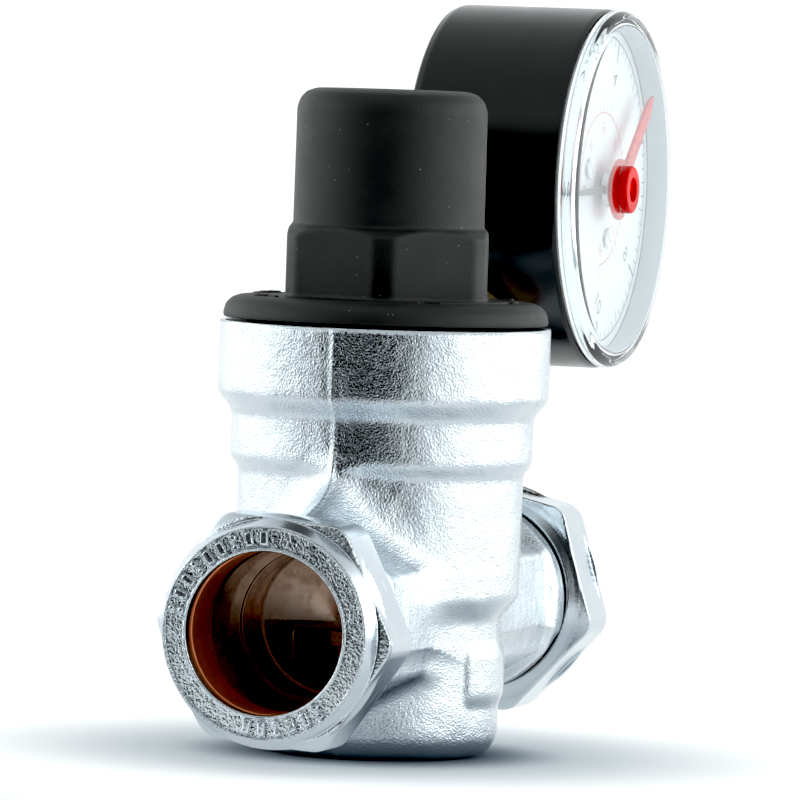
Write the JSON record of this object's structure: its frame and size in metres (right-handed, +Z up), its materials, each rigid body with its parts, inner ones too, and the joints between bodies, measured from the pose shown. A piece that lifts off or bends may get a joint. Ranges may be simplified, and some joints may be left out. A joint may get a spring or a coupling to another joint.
{
  "type": "pressure reducing valve",
  "caption": "Spring-loaded water pressure reducing valve with compression tube ends and an angled dial gauge",
  "frame": {"origin": "centre of the flat round underside of the body", "axes": "+Z up along the spring axis; +X along the pipe in the flow direction, from inlet to outlet; the gauge dial faces -Y"},
  "size_m": [0.1364, 0.0466, 0.1057],
  "materials": {
    "chrome_forging": "bright chrome plate over a coarse grit-blasted brass forging",
    "chrome_nut": "bright chrome plate, rough end face",
    "copper": "plain turned copper",
    "steel": "turned stainless steel",
    "spring_steel": "oiled spring wire",
    "brass": "turned brass",
    "rubber": "moulded black rubber",
    "black_nylon": "fine-grained glass-filled nylon",
    "black_case": "satin black moulding",
    "fibre": "red vulcanised fibre",
    "dial_white": "white enamel with printed scale",
    "pointer_black": "black lacquer",
    "clear_plastic": "clear polished acrylic",
    "red_plastic": "bright red moulding"
  },
  "bodies": {
    "root": {"valve_body": "chrome_forging", "spring_housing": "black_nylon", "strainer": "steel", "seat_ring": "brass", "seat_o_ring": "rubber", "stem_guide": "brass", "diaphragm": "rubber", "slip_ring": "brass", "main_spring": "spring_steel", "thrust_washer": "brass", "gauge_case": "black_case", "gauge_stem": "brass", "gauge_washer": "fibre", "bourdon_tube": "brass", "movement_frame": "brass", "gauge_dial": "dial_white", "dial_screw_left": "steel", "dial_screw_right": "steel", "gauge_window": "clear_plastic"},
    "inlet_olive_carrier": {"inlet_olive": "copper"},
    "inlet_nut": {"inlet_nut": "chrome_nut"},
    "outlet_olive_carrier": {"outlet_olive": "copper"},
    "outlet_nut": {"outlet_nut": "chrome_nut"},
    "stem": {"valve_stem": "steel", "disc_holder": "brass", "valve_disc": "rubber", "disc_nut": "brass", "diaphragm_washer": "brass", "lower_spring_plate": "steel", "diaphragm_nut": "steel"},
    "screw": {"adjusting_screw": "steel"},
    "spring_plate": {"upper_spring_plate": "brass"},
    "pointer": {"gauge_pointer": "pointer_black", "pinion_shaft": "steel"},
    "sector": {"sector_gear": "brass", "movement_link": "steel"},
    "set_hand": {"set_knob": "red_plastic", "set_pointer": "red_plastic"}
  },
  "joints": [
    {"name": "inlet_olive_slide", "type": "slide", "parent": "root", "child": "inlet_olive_carrier", "axis": [-1, 0, 0], "range_m": [0, 0.0032]},
    {"name": "inlet_nut_turn", "type": "hinge", "parent": "inlet_olive_carrier", "child": "inlet_nut", "pos_m": [-0.0435, 0, 0.01964], "axis": [-1, 0, 0], "range_deg": [0, 630]},
    {"name": "outlet_olive_slide", "type": "slide", "parent": "root", "child": "outlet_olive_carrier", "axis": [1, 0, 0], "range_m": [0, 0.0032]},
    {"name": "outlet_nut_turn", "type": "hinge", "parent": "outlet_olive_carrier", "child": "outlet_nut", "pos_m": [0.0548, 0, 0.01964], "axis": [1, 0, 0], "range_deg": [0, 630]},
    {"name": "stem_lift", "type": "slide", "parent": "root", "child": "stem", "axis": [0, 0, 1], "range_m": [0, 0.0012], "stiffness_N_per_m": 2000, "springref_m": -0.001, "deforming": ["diaphragm"]},
    {"name": "screw_turn", "type": "hinge", "parent": "root", "child": "screw", "pos_m": [0, 0, 0.085], "axis": [0, 0, 1], "range_deg": [0, 2882]},
    {"name": "plate_slide", "type": "slide", "parent": "root", "child": "spring_plate", "axis": [0, 0, -1], "range_m": [0, 0.01], "deforming": ["main_spring"]},
    {"name": "pointer_turn", "type": "hinge", "parent": "root", "child": "pointer", "pos_m": [0.06, 0, 0.0794], "axis": [0, 1, 0], "range_deg": [0, 270], "stiffness_Nm_per_rad": 0.0003},
    {"name": "sector_turn", "type": "hinge", "parent": "root", "child": "sector", "pos_m": [0.05208, 0, 0.07148], "axis": [0, 1, 0], "range_deg": [-34, 1]},
    {"name": "set_hand_turn", "type": "hinge", "parent": "root", "child": "set_hand", "pos_m": [0.06, 0, 0.0794], "axis": [0, 1, 0], "range_deg": [-139, 131]}
  ],
  "couplings": [
    {"joint": "inlet_olive_slide", "follows": "inlet_nut_turn", "m_per_rad": 0.00028872},
    {"joint": "outlet_olive_slide", "follows": "outlet_nut_turn", "m_per_rad": 0.00028872},
    {"joint": "screw_turn", "follows": "plate_slide", "rad_per_m": 5026.5},
    {"joint": "sector_turn", "follows": "pointer_turn", "ratio": -0.12371}
  ]
}
